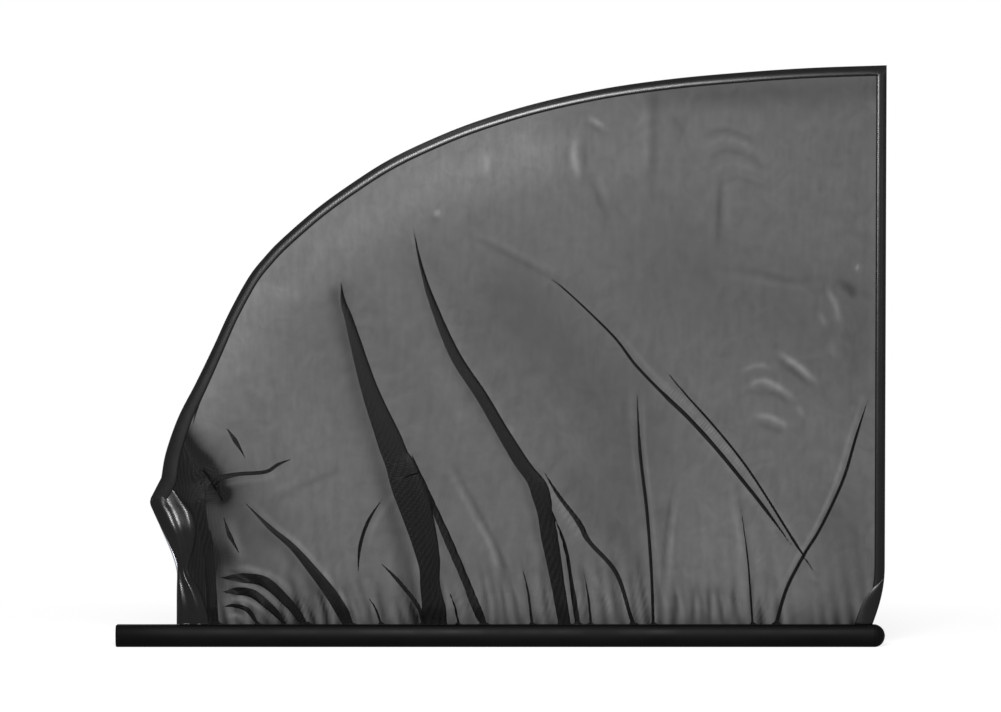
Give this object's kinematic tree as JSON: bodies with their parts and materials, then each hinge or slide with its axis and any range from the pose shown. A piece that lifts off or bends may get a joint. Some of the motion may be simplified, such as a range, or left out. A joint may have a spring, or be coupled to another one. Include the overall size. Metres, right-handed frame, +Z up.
{
  "type": "car side window sunshade",
  "caption": "Side window sunshade of sheer black mesh, gathered on a rigid lower bar and held out by a sprung wire frame in a taped edge.",
  "frame": {"origin": "middle of the bar's flat back face, at mid-length and mid-height", "axes": "+X along the bar towards the tall side of the shade, +Y out of the bar's flat back, away from the side that is looked at, +Z up"},
  "size_m": [0.6914, 0.0148, 0.5218],
  "materials": {
    "bar_plastic": "black moulded plastic, lightly satin",
    "rod_plastic": "plain drawn nylon rod",
    "spring_steel": "drawn spring steel wire",
    "satin_tape": "black satin-woven polyester tape with a soft shine",
    "mesh_cloth": "sheer black knitted mesh, a tenth of the light comes through"
  },
  "bodies": {
    "root": {"base_bar": "bar_plastic", "bar_end_cap": "bar_plastic", "hem_rod": "rod_plastic", "frame_wire": "spring_steel", "edge_binding": "satin_tape", "corner_sleeve": "satin_tape", "corner_patch": "satin_tape", "shade_panel": "mesh_cloth"}
  },
  "joints": []
}
